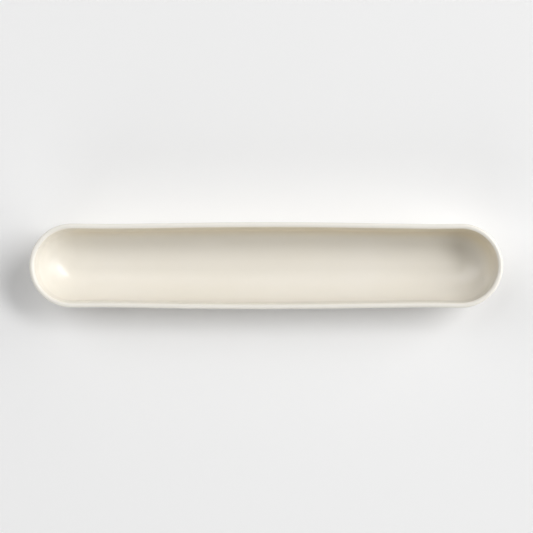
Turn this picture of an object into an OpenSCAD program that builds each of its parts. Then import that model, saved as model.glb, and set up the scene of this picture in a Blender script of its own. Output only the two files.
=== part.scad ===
// Olive dish: a long, narrow trough of glazed stoneware with round ends.
// It is one casting of fired clay under three coats of glaze: one inside, one outside,
// and an island of glaze on the underside, inside the bare foot ring.
// X runs along the dish, Z is up, and the origin is on the table under its middle.

/* [Dish] */
// Length over the rim
dish_length = 330; // [260:1:420]
// Width over the rim
dish_width = 60.5; // [54:0.5:90]
// Height from the table to the crest of the rim
dish_height = 38; // [32:0.5:60]

/* [Wall] */
// Thickness of the wall at the rim, glaze included
rim_thickness = 3.6; // [2.4:0.1:6]
// Lean of the inner wall from upright, in degrees
inner_draft = 6; // [2:0.5:10]
// Lean of the outer wall from upright, in degrees
outer_draft = 5; // [2:0.5:10]
// Thickness of the floor, glaze included
floor_thickness = 4; // [3:0.1:8]
// Radius of the hollow curve from the floor to the inner wall
floor_fillet = 22; // [10:0.5:24]
// Radius of the heel, from the outer wall to the base
heel_radius = 16; // [8:0.5:18]

/* [Foot ring] */
// Height of the base above the table
foot_height = 2; // [1:0.1:5]
// Thickness of the foot ring, from its outer to its inner side
foot_thickness = 3; // [2:0.1:5]
// Rounding of the foot ring's two lower edges
foot_edge = 0.6; // [0.2:0.1:0.9]

/* [Glaze] */
// Thickness of each coat of glaze
glaze_thickness = 0.4; // [0.2:0.05:0.8]
// How far the outside glaze runs in under the base, from the end of the heel curve
glaze_run = 0.5; // [0.2:0.1:2]
// Bare clay left between the glaze and the foot ring
bare_band = 0.5; // [0.2:0.1:1.5]

/* [Hidden] */

// Steps of the rim's two quarter rounds, of the two large curves, and of a foot edge
rim_steps = 8;
curve_steps = 16;
edge_steps = 4;
// Facets of a full turn at the round ends
end_facets = 96;

// Colours of the cream glaze and of the bare clay
glaze_colour = "#efe8da";
clay_colour = "#cdb79c";

// Plan: two half rounds about (end_x, 0) and (-end_x, 0), with straight sides between them
end_radius = dish_width / 2;
end_x = dish_length / 2 - end_radius;

// Levels above the table
base_z = foot_height;
floor_z = base_z + floor_thickness;

// Section: each point is [distance from the middle line, height]
rim_radius = rim_thickness / 2;
rim_centre = [end_radius - rim_radius, dish_height - rim_radius];
fillet_centre = [
    rim_centre.x - (rim_radius + floor_fillet + (rim_centre.y - floor_z - floor_fillet) * sin(inner_draft))
        / cos(inner_draft),
    floor_z + floor_fillet
];
heel_centre = [
    rim_centre.x + (rim_radius - heel_radius - (rim_centre.y - base_z - heel_radius) * sin(outer_draft))
        / cos(outer_draft),
    base_z + heel_radius
];
foot_outer = heel_centre.x - glaze_run - bare_band;
foot_inner = foot_outer - foot_thickness;

// Points on an arc from one angle to another, in degrees
function arc(centre, radius, from, to, steps) = [
    for (i = [0:steps])
        let (angle = from + (to - from) * i / steps)
            centre + radius * [cos(angle), sin(angle)]
];

function backwards(points) = [for (i = [len(points) - 1:-1:0]) points[i]];
function without_first(points) = [for (i = [1:len(points) - 1]) points[i]];

// The inside of the dish from the rim's crest to the middle of the floor, this deep under the glaze
function inside_line(depth) = concat(
    arc(rim_centre, rim_radius - depth, 90, 180 - inner_draft, rim_steps),
    arc(fillet_centre, floor_fillet + depth, -inner_draft, -90, curve_steps),
    [[0, floor_z - depth]]
);

// The outside of the dish from the rim's crest to the end of the heel, this deep under the glaze
function outside_line(depth) = concat(
    arc(rim_centre, rim_radius - depth, 90, -outer_draft, rim_steps),
    arc(heel_centre, heel_radius - depth, -outer_draft, -90, curve_steps)
);

// The bare foot ring, from its outer side under and up to its inner side
function foot_line(top) = concat(
    [[foot_outer, top]],
    arc([foot_outer - foot_edge, foot_edge], foot_edge, 0, -90, edge_steps),
    arc([foot_inner + foot_edge, foot_edge], foot_edge, -90, -180, edge_steps),
    [[foot_inner, top]]
);

// Sweeps a section round the dish: along both straight sides and round both ends
module sweep(section) {
    for (side = [0, 1])
        mirror([0, side, 0])
            translate([-end_x, 0, 0])
                rotate([90, 0, 90])
                    linear_extrude(2 * end_x) polygon(section);
    for (end = [0, 1])
        mirror([end, 0, 0])
            translate([end_x, 0, 0])
                rotate_extrude(angle = 180, start = -90, $fn = end_facets) polygon(section);
}

// Fired clay: floor, wall, rim and foot ring in one casting
module stoneware_body() {
    clay_base = base_z + glaze_thickness;
    color(clay_colour)
        sweep(
            concat(
                backwards(inside_line(glaze_thickness)),
                without_first(outside_line(glaze_thickness)),
                foot_line(clay_base),
                [[0, clay_base]]
            )
        );
}

// Glaze on the floor and inner wall, up to the crest of the rim
module inside_glaze() {
    color(glaze_colour)
        sweep(concat(inside_line(0), backwards(inside_line(glaze_thickness))));
}

// Glaze on the outer wall, from the crest of the rim to the bare band beside the foot ring
module outside_glaze() {
    glaze_end = foot_outer + bare_band;
    color(glaze_colour)
        sweep(
            concat(
                outside_line(0),
                [[glaze_end, base_z], [glaze_end, base_z + glaze_thickness]],
                backwards(outside_line(glaze_thickness))
            )
        );
}

// Glaze on the underside, inside the foot ring
module underside_glaze() {
    glaze_end = foot_inner - bare_band;
    color(glaze_colour)
        sweep([
            [0, base_z],
            [glaze_end, base_z],
            [glaze_end, base_z + glaze_thickness],
            [0, base_z + glaze_thickness]
        ]);
}

stoneware_body();
inside_glaze();
outside_glaze();
underside_glaze();
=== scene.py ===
from math import cos, pi, radians, sin

import bmesh
import bpy
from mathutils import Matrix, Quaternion, Vector


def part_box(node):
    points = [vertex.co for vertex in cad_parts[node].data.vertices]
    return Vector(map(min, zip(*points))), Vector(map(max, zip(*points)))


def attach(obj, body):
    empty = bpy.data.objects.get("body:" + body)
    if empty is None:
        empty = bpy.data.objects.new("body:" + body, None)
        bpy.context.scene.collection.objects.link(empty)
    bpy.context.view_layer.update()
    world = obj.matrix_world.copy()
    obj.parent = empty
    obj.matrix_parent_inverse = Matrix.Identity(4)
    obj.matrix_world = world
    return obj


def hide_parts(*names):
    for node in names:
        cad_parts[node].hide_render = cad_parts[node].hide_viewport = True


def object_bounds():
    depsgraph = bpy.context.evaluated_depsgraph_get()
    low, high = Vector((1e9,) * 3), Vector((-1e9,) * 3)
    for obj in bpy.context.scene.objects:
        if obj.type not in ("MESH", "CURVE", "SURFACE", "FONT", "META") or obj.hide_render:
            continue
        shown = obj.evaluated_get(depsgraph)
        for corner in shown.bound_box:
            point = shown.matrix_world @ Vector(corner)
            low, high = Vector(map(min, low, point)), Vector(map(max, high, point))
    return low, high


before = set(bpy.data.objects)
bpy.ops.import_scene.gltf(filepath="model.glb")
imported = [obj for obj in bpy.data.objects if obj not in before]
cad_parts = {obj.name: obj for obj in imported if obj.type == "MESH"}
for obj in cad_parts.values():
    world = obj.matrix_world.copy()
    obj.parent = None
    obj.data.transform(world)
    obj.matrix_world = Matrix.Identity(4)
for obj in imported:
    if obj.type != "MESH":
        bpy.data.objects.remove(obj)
cad_low, cad_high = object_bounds()

MM = 0.001

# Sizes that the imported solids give
lining_low, lining_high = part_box("inside_glaze")
island_low, island_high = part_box("underside_glaze")
HALF_LENGTH = cad_high.x
HALF_WIDTH = cad_high.y
CREST_Z = cad_high.z
BASE_Z = island_low.z
GLAZE = island_high.z - island_low.z
CLAY_BASE_Z = BASE_Z + GLAZE
FLOOR_Z = lining_low.z + GLAZE
RIM_RADIUS = HALF_WIDTH - lining_high.y

# Section of the wall: its leans from upright in degrees, and its radii
INNER_DRAFT = 6
OUTER_DRAFT = 5
FLOOR_FILLET = 22 * MM
HEEL_RADIUS = 16 * MM

# Foot ring, and the bare clay beside it
FOOT_THICKNESS = 3 * MM
FOOT_EDGE = 0.6 * MM
FOOT_ROOT = 0.3 * MM
GLAZE_RUN = 0.5 * MM
BARE_BAND = 0.5 * MM

# Plan: the long sides swell between two waists, the far one a little to the right and the near one
# to the left, and the ends are a little wider than the waists
END_RADIUS = 29.3 * MM
WAIST_HALF = 29.1 * MM
WAIST_X = 112 * MM
SWELL_SHIFT = 6 * MM
END_X = HALF_LENGTH - END_RADIUS

# The hollow rises towards its ends before the end walls do, and the rise fades out between these heights
END_RISE = 2.2 * MM
RISE_START = 120 * MM
RISE_STOP = 150 * MM
RISE_WHOLE_Z = FLOOR_Z + 4 * MM
RISE_GONE_Z = CREST_Z - 4 * MM

# What the kiln did: the wall leans and sinks a little, and the edge of the glaze wanders
KILN_WARP = 0.15 * MM
GLAZE_WANDER = 0.12 * MM

# Painted shade on the far wall: more and more up the wall between two heights, and along the dish
# between two places near its left tip
SHADE_LOW = 11 * MM
SHADE_HIGH = 22 * MM
SHADE_START = 11 * MM - HALF_LENGTH
SHADE_STOP = 41 * MM - HALF_LENGTH

# Steps along the curves, and half the width of a floor's middle strip
END_STEPS = 28
SIDE_STEPS = 96
RIM_STEPS = 9
CURVE_STEPS = 18
STRAIGHT_STEPS = 5
EDGE_STEPS = 5
STRIP = 2.5 * MM
# Turn beside the rim's crest, in degrees, over which both coats lie level, so that no seam shows
CREST_TURN = 0.5
# An edge that turns by more than this stays crisp
CRISP_TURN = radians(40)

# The photograph's frame in pixels: its side, the length of the dish and where its middle lies
FRAME_SIDE = 533
DISH_PIXELS = 474.2
MIDDLE_PIXEL = (266.2, 265.7)
# The camera hangs straight above the dish
CAMERA_HEIGHT = 1.0
SENSOR = 36.0
# Every light panel stands this far from the dish, and the table is this long and wide
PANEL_DISTANCE = 6.0
TABLE_SIDE = 5.2


def rounded_into(level, radius, draft, side):
    """Centre of the round between a level and a wall that leans by draft on that side of the rim."""
    lean = radians(draft)
    drop = RIM_CENTRE[1] - level - radius
    across = side * RIM_RADIUS - radius - drop * sin(lean)
    return RIM_CENTRE[0] + across / cos(lean), level + radius


# Centres of the section's rounds and edges of the foot ring, out from the middle line and up from the table
RIM_CENTRE = (HALF_WIDTH - RIM_RADIUS, CREST_Z - RIM_RADIUS)
FILLET_CENTRE = rounded_into(FLOOR_Z, FLOOR_FILLET, INNER_DRAFT, -1)
HEEL_CENTRE = rounded_into(BASE_Z, HEEL_RADIUS, OUTER_DRAFT, 1)
FOOT_OUTER = HEEL_CENTRE[0] - GLAZE_RUN - BARE_BAND
FOOT_INNER = FOOT_OUTER - FOOT_THICKNESS


def eased(start, stop, value):
    """0 up to start, 1 from stop on, and a smooth rise between them."""
    share = min(1, max(0, (value - start) / (stop - start)))
    return share * share * (3 - 2 * share)


def arc(centre, radius, start, stop, steps):
    """Points of the section on a round, from one angle to another in degrees."""
    angles = [radians(start + (stop - start) * i / steps) for i in range(steps + 1)]
    return [(centre[0] + radius * cos(angle), centre[1] + radius * sin(angle)) for angle in angles]


def between(first, last):
    """Points of the section on a straight line, without its two ends."""
    shares = [i / STRAIGHT_STEPS for i in range(1, STRAIGHT_STEPS)]
    return [tuple(a + (b - a) * share for a, b in zip(first, last)) for share in shares]


def inside_line(depth):
    """The inside from the rim's crest to the floor's middle strip, this deep under the glaze's face."""
    # Its points rise towards the ends of the dish
    rim = arc(RIM_CENTRE, RIM_RADIUS - depth, 90 + CREST_TURN, 180 - INNER_DRAFT, RIM_STEPS)
    fillet = arc(FILLET_CENTRE, FLOOR_FILLET + depth, -INNER_DRAFT, -90, CURVE_STEPS)
    middle = (STRIP, FLOOR_Z - depth)
    crest = (RIM_CENTRE[0], CREST_Z - depth)
    line = [crest] + rim + between(rim[-1], fillet[0]) + fillet + between(fillet[-1], middle) + [middle]
    return [(reach, height, 0, 1) for reach, height in line]


def outside_line(depth):
    """The outside from the rim's crest to the end of the heel, this deep under the glaze's face."""
    rim = arc(RIM_CENTRE, RIM_RADIUS - depth, 90 - CREST_TURN, -OUTER_DRAFT, RIM_STEPS)
    heel = arc(HEEL_CENTRE, HEEL_RADIUS - depth, -OUTER_DRAFT, -90, CURVE_STEPS)
    crest = (RIM_CENTRE[0], CREST_Z - depth)
    return [crest] + rim + between(rim[-1], heel[0]) + heel


def bead(edge, towards):
    """The round edge of a coat of glaze on the underside, from its face up to the clay."""
    # Its points wander round the dish
    centre = (edge - towards * GLAZE / 2, BASE_Z + GLAZE / 2)
    points = arc(centre, GLAZE / 2, -90, -90 + towards * 180, EDGE_STEPS)
    return [(reach, height, 1) for reach, height in points]


def foot_line():
    """The bare foot ring from its outer root, round under it, to its inner root."""
    root_z = CLAY_BASE_Z - FOOT_ROOT
    outer_root = arc((FOOT_OUTER + FOOT_ROOT, root_z), FOOT_ROOT, 90, 180, EDGE_STEPS)
    outer_edge = arc((FOOT_OUTER - FOOT_EDGE, FOOT_EDGE), FOOT_EDGE, 0, -90, EDGE_STEPS)
    inner_edge = arc((FOOT_INNER + FOOT_EDGE, FOOT_EDGE), FOOT_EDGE, -90, -180, EDGE_STEPS)
    inner_root = arc((FOOT_INNER - FOOT_ROOT, root_z), FOOT_ROOT, 0, 90, EDGE_STEPS)
    return outer_root + outer_edge + inner_edge + inner_root


def half_width_at(x):
    """Half the width over the rim on the far side, this far to the right of the middle of the dish."""
    swell = max(0, 1 - ((x - SWELL_SHIFT) / WAIST_X) ** 2) ** 1.5
    flare = eased(WAIST_X, END_X, abs(x))
    return WAIST_HALF + (HALF_WIDTH - WAIST_HALF) * swell + (END_RADIUS - WAIST_HALF) * flare


def stations():
    """Where the section stands, from the right tip round by the far side: x, heading and half-width."""
    turns = [pi / 2 * i / END_STEPS for i in range(END_STEPS)]
    along = [END_X - 2 * END_X * i / SIDE_STEPS for i in range(SIDE_STEPS)]
    right_far = [(END_X, turn, END_RADIUS) for turn in turns]
    far_side = [(x, pi / 2, half_width_at(x)) for x in along]
    left_far = [(-END_X, pi / 2 + turn, END_RADIUS) for turn in turns]
    half = right_far + far_side + left_far
    return half + [(-x, heading + pi, width) for x, heading, width in half]


STATIONS = stations()


def placed(point, k):
    """The point of the section at a station, with the kiln's warp and the wander of the glaze's edge."""
    # After its reach and height a point may hold its share of the wander, and then of the hollow's rise
    reach, height, wander, rise = (*point, 0, 0)[:4]
    x, heading, width = STATIONS[k]
    # Once round the dish the wall leans in twice and sinks three times, and the glaze's edge ripples
    round_dish = 2 * pi * k / len(STATIONS)
    lean = KILN_WARP * (1 + sin(2 * round_dish + 0.6)) / 2
    sink = KILN_WARP * (1 + sin(3 * round_dish + 1.9)) / 2
    ripple = 0.6 * sin(23 * round_dish) + 0.4 * sin(61 * round_dish + 1.1)
    share = height / CREST_Z
    out = reach + width - HALF_WIDTH - lean * share + wander * GLAZE_WANDER * ripple
    along = x + out * cos(heading)
    low = 1 - eased(RISE_WHOLE_Z, RISE_GONE_Z, height)
    lift = rise * END_RISE * low * eased(RISE_START, RISE_STOP, abs(along))
    return along, out * sin(heading), height + lift - sink * share ** 2


def lace(mesh, ring):
    """Shuts a floor's middle strip with rungs from each point of its ring to the one opposite."""
    count = len(ring)
    mesh.faces.new((ring[0], ring[1], ring[-1]))
    for k in range(1, count // 2 - 1):
        mesh.faces.new((ring[k], ring[k + 1], ring[count - k - 1], ring[count - k]))
    mesh.faces.new((ring[count // 2 - 1], ring[count // 2], ring[count // 2 + 1]))


def swept(name, section, node, material, looped=False):
    """A closed piece in place of a node: the section carried round the dish, its open ends laced shut."""
    mesh = bmesh.new()
    rings = [[mesh.verts.new(placed(point, k)) for k in range(len(STATIONS))] for point in section]
    pairs = list(zip(rings, rings[1:]))
    if looped:
        pairs.append((rings[-1], rings[0]))
    else:
        lace(mesh, rings[0])
        lace(mesh, rings[-1])
    for ring, following in pairs:
        for k in range(len(ring)):
            mesh.faces.new((ring[k - 1], ring[k], following[k], following[k - 1]))
    bmesh.ops.recalc_face_normals(mesh, faces=mesh.faces)
    data = bpy.data.meshes.new(name)
    mesh.to_mesh(data)
    mesh.free()
    data.shade_smooth()
    data.set_sharp_from_angle(angle=CRISP_TURN)
    data.materials.append(material)
    piece = bpy.data.objects.new(name, data)
    bpy.context.scene.collection.objects.link(piece)
    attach(piece, "root")
    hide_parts(node)


def colour(code):
    """Linear RGBA of an sRGB hex colour."""
    parts = [int(code[i : i + 2], 16) / 255 for i in (1, 3, 5)]
    return *(p / 12.92 if p <= 0.04045 else ((p + 0.055) / 1.055) ** 2.4 for p in parts), 1.0


def add_node(tree, kind, links=(), **settings):
    """Adds a node, sets its properties, and fills each named or numbered input with a value or a link."""
    node = tree.nodes.new(kind)
    for name, value in settings.items():
        setattr(node, name, value)
    for name, value in dict(links).items():
        if isinstance(value, bpy.types.NodeSocket):
            tree.links.new(value, node.inputs[name])
        else:
            node.inputs[name].default_value = value
    return node


def new_material(name):
    """A material with its node tree and its shader."""
    material = bpy.data.materials.new(name)
    material.use_nodes = True
    tree = material.node_tree
    return material, tree, tree.nodes["Principled BSDF"]


def per(size):
    """Scale of a pattern whose features are this many millimetres apart."""
    return 1 / (size * MM)


def cream_stoneware_glaze(name, shade_colour):
    """Opaque cream glaze on stoneware with a soft gloss, painted shade up its far wall and a painted
    highlight on its rim.
    """
    # A milky, warm white under an even gloss. It clouds a little, and the crest of its rim is painted
    # paler, a painted highlight. Up the steep far wall, short of the left end, a darker, warmer tint is
    # painted shade, where that wall gets only light off the floor.
    # Its face keeps the shallow ripple and slow swells of the melt.
    material, tree, shader = new_material(name)
    place = add_node(tree, "ShaderNodeTexCoord").outputs["Object"]
    spot = add_node(tree, "ShaderNodeSeparateXYZ", {0: place}).outputs
    height = spot["Z"]
    clouds = add_node(tree, "ShaderNodeTexNoise", {"Vector": place, "Scale": per(45), "Detail": 3.0})
    body = add_node(
        tree,
        "ShaderNodeMix",
        {0: clouds.outputs["Fac"], 6: colour("#ede8dc"), 7: colour("#f1ede5")},
        data_type="RGBA",
    )
    # Painted shade: a darker, warmer tint that grows up the far wall and fades out towards the left tip
    steep = add_node(
        tree,
        "ShaderNodeMapRange",
        {"Value": height, "From Min": SHADE_LOW, "From Max": SHADE_HIGH},
        interpolation_type="SMOOTHSTEP",
    )
    shade_along = add_node(
        tree,
        "ShaderNodeMapRange",
        {
            "Value": spot["X"],
            "From Min": SHADE_START,
            "From Max": SHADE_STOP,
            "To Max": steep.outputs["Result"],
        },
        interpolation_type="SMOOTHSTEP",
    )
    farther = add_node(
        tree,
        "ShaderNodeVectorMath",
        {0: place, 1: (0.25 / HALF_LENGTH, 1 / HALF_WIDTH, 0)},
        operation="DOT_PRODUCT",
    )
    shade_share = add_node(
        tree,
        "ShaderNodeMapRange",
        {
            "Value": farther.outputs["Value"],
            "From Min": -0.1,
            "From Max": 0.9,
            "To Max": shade_along.outputs["Result"],
        },
    )
    wall = add_node(
        tree,
        "ShaderNodeMix",
        {0: shade_share.outputs["Result"], 6: body.outputs[2], 7: colour(shade_colour)},
        data_type="RGBA",
    )
    # Painted highlight: the crest of the rim is painted paler than the rest of the glaze
    rim_highlight = add_node(
        tree,
        "ShaderNodeMapRange",
        {"Value": height, "From Min": CREST_Z - 2.2 * MM, "From Max": CREST_Z - 0.3 * MM},
        interpolation_type="SMOOTHSTEP",
    )
    coat = add_node(
        tree,
        "ShaderNodeMix",
        {0: rim_highlight.outputs["Result"], 6: wall.outputs[2], 7: colour("#f8f4eb")},
        data_type="RGBA",
    )
    tree.links.new(coat.outputs[2], shader.inputs["Base Color"])
    gloss = add_node(
        tree,
        "ShaderNodeMapRange",
        {"Value": clouds.outputs["Fac"], "From Min": 0.3, "From Max": 0.7, "To Min": 0.2, "To Max": 0.25},
    )
    tree.links.new(gloss.outputs["Result"], shader.inputs["Roughness"])
    swells = add_node(tree, "ShaderNodeTexNoise", {"Vector": place, "Scale": per(14), "Detail": 1.0})
    slow = add_node(
        tree,
        "ShaderNodeBump",
        {"Height": swells.outputs["Fac"], "Strength": 0.3, "Distance": 0.1 * MM},
    )
    ripple = add_node(tree, "ShaderNodeTexNoise", {"Vector": place, "Scale": per(3), "Detail": 2.0})
    relief = add_node(
        tree,
        "ShaderNodeBump",
        {
            "Height": ripple.outputs["Fac"],
            "Strength": 0.3,
            "Distance": 0.02 * MM,
            "Normal": slow.outputs["Normal"],
        },
    )
    tree.links.new(relief.outputs["Normal"], shader.inputs["Normal"])
    shader.inputs["IOR"].default_value = 1.52
    return material


def bare_buff_stoneware():
    """Unglazed buff stoneware, sponged smooth and wiped clean of glaze before firing."""
    # Dry and matt, with a fine grain and a few iron specks. The kiln toasted it warmer up beside the
    # glaze, and the face that the dish stands on is ground paler.
    material, tree, shader = new_material("bare_buff_stoneware")
    place = add_node(tree, "ShaderNodeTexCoord").outputs["Object"]
    height = add_node(tree, "ShaderNodeSeparateXYZ", {0: place}).outputs["Z"]
    grain = add_node(tree, "ShaderNodeTexNoise", {"Vector": place, "Scale": per(0.8), "Detail": 4.0})
    clay = add_node(
        tree,
        "ShaderNodeMix",
        {0: grain.outputs["Fac"], 6: colour("#c4ac8e"), 7: colour("#d8c6ae")},
        data_type="RGBA",
    )
    toast = add_node(
        tree,
        "ShaderNodeMapRange",
        {"Value": height, "From Min": 0.8 * MM, "From Max": CLAY_BASE_Z, "To Min": 0.0, "To Max": 0.7},
    )
    toasted = add_node(
        tree,
        "ShaderNodeMix",
        {0: toast.outputs["Result"], 6: clay.outputs[2], 7: colour("#b98d63")},
        data_type="RGBA",
    )
    ground = add_node(
        tree,
        "ShaderNodeMapRange",
        {"Value": height, "From Min": 0.0, "From Max": 0.3 * MM, "To Min": 0.6, "To Max": 0.0},
    )
    worn = add_node(
        tree,
        "ShaderNodeMix",
        {0: ground.outputs["Result"], 6: toasted.outputs[2], 7: colour("#e2d6c4")},
        data_type="RGBA",
    )
    specks = add_node(tree, "ShaderNodeTexVoronoi", {"Vector": place, "Scale": per(2.2)})
    iron = add_node(
        tree,
        "ShaderNodeMapRange",
        {
            "Value": specks.outputs["Distance"],
            "From Min": 0.08,
            "From Max": 0.16,
            "To Min": 0.6,
            "To Max": 0.0,
        },
    )
    speckled = add_node(
        tree,
        "ShaderNodeMix",
        {0: iron.outputs["Result"], 6: worn.outputs[2], 7: colour("#7b5f45")},
        data_type="RGBA",
    )
    tree.links.new(speckled.outputs[2], shader.inputs["Base Color"])
    relief = add_node(
        tree,
        "ShaderNodeBump",
        {"Height": grain.outputs["Fac"], "Strength": 0.6, "Distance": 0.08 * MM},
    )
    tree.links.new(relief.outputs["Normal"], shader.inputs["Normal"])
    shader.inputs["Roughness"].default_value = 0.85
    return material


def shown_rays(tree):
    """1 for rays from the camera, off gloss or through glass, which show what they reach, and else 0."""
    rays = add_node(tree, "ShaderNodeLightPath").outputs
    direct = {0: rays["Is Camera Ray"], 1: rays["Is Glossy Ray"]}
    seen = add_node(tree, "ShaderNodeMath", direct, operation="MAXIMUM")
    every = {0: seen.outputs[0], 1: rays["Is Transmission Ray"]}
    return add_node(tree, "ShaderNodeMath", every, operation="MAXIMUM").outputs[0]


def pale_table_top():
    """Matt white table top under the dish, a little paler to the camera than by its light alone."""
    material, tree, shader = new_material("pale_table_top")
    shader.inputs["Base Color"].default_value = colour("#f8f8f8")
    pale = add_node(tree, "ShaderNodeMapRange", {"Value": shown_rays(tree), "To Min": 0.0, "To Max": 0.03})
    tree.links.new(pale.outputs["Result"], shader.inputs["Emission Strength"])
    shader.inputs["Emission Color"].default_value = colour("#ffffff")
    shader.inputs["Roughness"].default_value = 0.9
    return material


def light_panel(name, azimuth, elevation, width, rise, power, roll=0):
    """A panel of soft white light that faces the dish, at angles in degrees from +X and from the table."""
    # It can be rolled by some degrees about the line from the dish to it
    turn = radians(azimuth)
    lift = radians(elevation)
    towards = Vector((cos(lift) * cos(turn), cos(lift) * sin(turn), sin(lift)))
    data = bpy.data.lights.new(name, "AREA")
    data.shape = "RECTANGLE"
    data.size = width
    data.size_y = rise
    data.energy = power
    lamp = bpy.data.objects.new(name, data)
    lamp.location = towards * PANEL_DISTANCE
    facing = towards.to_track_quat("Z", "Y") @ Quaternion((0, 0, 1), radians(roll))
    lamp.rotation_euler = facing.to_euler()
    lamp.visible_camera = False
    bpy.context.scene.collection.objects.link(lamp)


# The casting and its coats of glaze
# The second colour of each glaze is painted shade on its far wall, fainter on the outside coat
lining_glaze = cream_stoneware_glaze("cream_lining_glaze", "#e8dcc2")
coat_glaze = cream_stoneware_glaze("cream_coat_glaze", "#efeadf")
clay = bare_buff_stoneware()

clay_line = inside_line(GLAZE)[::-1] + outside_line(GLAZE)[1:]
casting_section = clay_line + foot_line() + [(STRIP, CLAY_BASE_Z)]
swept("clay_casting", casting_section, "stoneware_body", clay)

lining_section = inside_line(0)[::-1] + inside_line(GLAZE)
swept("glaze_lining", lining_section, "inside_glaze", lining_glaze)

coat_section = outside_line(0) + bead(FOOT_OUTER + BARE_BAND, -1) + outside_line(GLAZE)[::-1]
swept("glaze_coat", coat_section, "outside_glaze", coat_glaze, looped=True)

island_section = [(STRIP, BASE_Z)] + bead(FOOT_INNER - BARE_BAND, 1) + [(STRIP, CLAY_BASE_Z)]
swept("glaze_island", island_section, "underside_glaze", coat_glaze)

# Table top
bpy.ops.mesh.primitive_plane_add(size=TABLE_SIDE)
table = bpy.context.object
table.name = "table_top"
table.data.materials.append(pale_table_top())

# Light: azimuth, elevation, width and rise of each panel, and its power in watts
light_panel("key_panel", 21, 51, 3.6, 1.4, 150, roll=18)
light_panel("right_panel", 10, 24, 7.2, 4.6, 250)
light_panel("far_panel", 146, 46, 5.2, 5.2, 146)
light_panel("near_panel", 252, 20, 4.2, 3.0, 86)

# The room looks pale to the camera and in the gloss, but lights the dish only a little
world = bpy.data.worlds.new("pale_room")
world.use_nodes = True
room = world.node_tree
level = add_node(room, "ShaderNodeMapRange", {"Value": shown_rays(room), "To Min": 0.03, "To Max": 1.0})
backdrop = room.nodes["Background"].inputs
backdrop["Color"].default_value = colour("#f0f0f0")
room.links.new(level.outputs["Result"], backdrop["Strength"])
bpy.context.scene.world = world

# Camera
pixel = 2 * HALF_LENGTH / DISH_PIXELS
lens = bpy.data.cameras.new("overhead")
lens.sensor_width = SENSOR
lens.lens = SENSOR * CAMERA_HEIGHT / (FRAME_SIDE * pixel)
camera = bpy.data.objects.new("overhead", lens)
middle = FRAME_SIDE / 2
camera.location = (
    (middle - MIDDLE_PIXEL[0]) * pixel,
    (MIDDLE_PIXEL[1] - middle) * pixel,
    RIM_CENTRE[1] + CAMERA_HEIGHT,
)
bpy.context.scene.collection.objects.link(camera)
bpy.context.scene.camera = camera
bpy.context.scene.view_settings.view_transform = "Standard"
